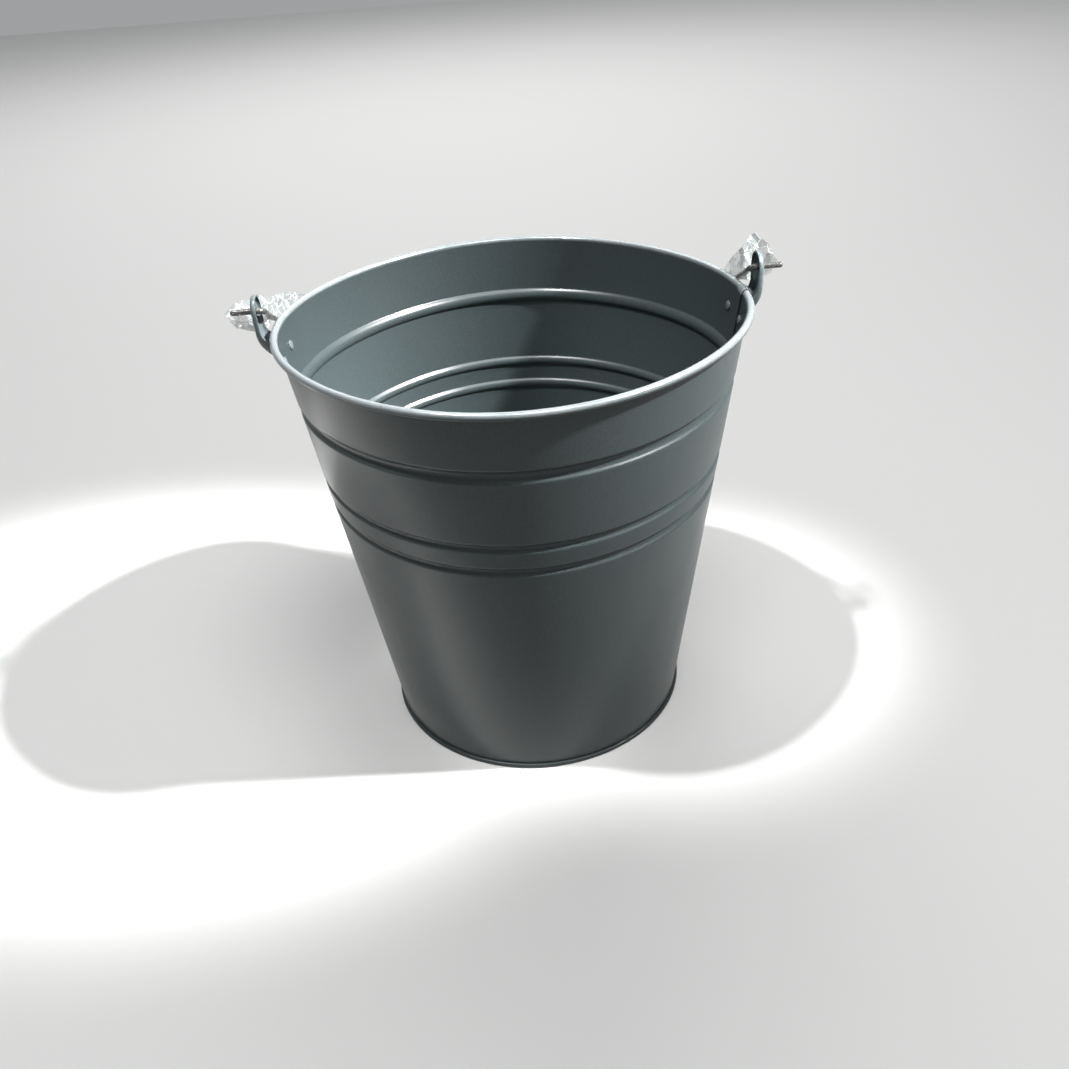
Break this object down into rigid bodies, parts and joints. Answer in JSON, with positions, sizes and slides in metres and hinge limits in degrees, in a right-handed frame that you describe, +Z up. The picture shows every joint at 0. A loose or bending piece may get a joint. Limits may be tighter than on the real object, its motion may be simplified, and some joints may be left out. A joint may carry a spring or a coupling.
{
  "type": "florist bucket",
  "caption": "Tapered sheet-metal flower bucket with a wired rim, rolled beads, riveted ears and a round wire bail handle that swings over the rim.",
  "frame": {"origin": "middle of the foot ring, on the surface the bucket stands on", "axes": "+Z up along the bucket's axis, +X through the ear over the side seam, +Y towards the side the bail is folded down on"},
  "size_m": [0.3412, 0.2899, 0.3058],
  "materials": {
    "painted_sheet": "satin anthracite paint",
    "rim_wire": "bare drawn steel, hidden in the rim",
    "painted_ears": "satin anthracite paint",
    "painted_rivets": "satin anthracite paint",
    "painted_wire": "thin anthracite paint, worn",
    "clear_film": "crumpled clear packing film"
  },
  "bodies": {
    "bucket": {"bucket_wall": "painted_sheet", "base_disc": "painted_sheet", "rim_wire": "rim_wire", "ear_left": "painted_ears", "ear_right": "painted_ears", "rivets_left": "painted_rivets", "rivets_right": "painted_rivets"},
    "bail": {"bail": "painted_wire", "film_left": "clear_film", "film_right": "clear_film"}
  },
  "joints": [
    {"name": "bail_swing", "type": "hinge", "parent": "bucket", "child": "bail", "pos_m": [0, 0, 0.2962], "axis": [1, 0, 0], "range_deg": [0, 239.7]}
  ]
}
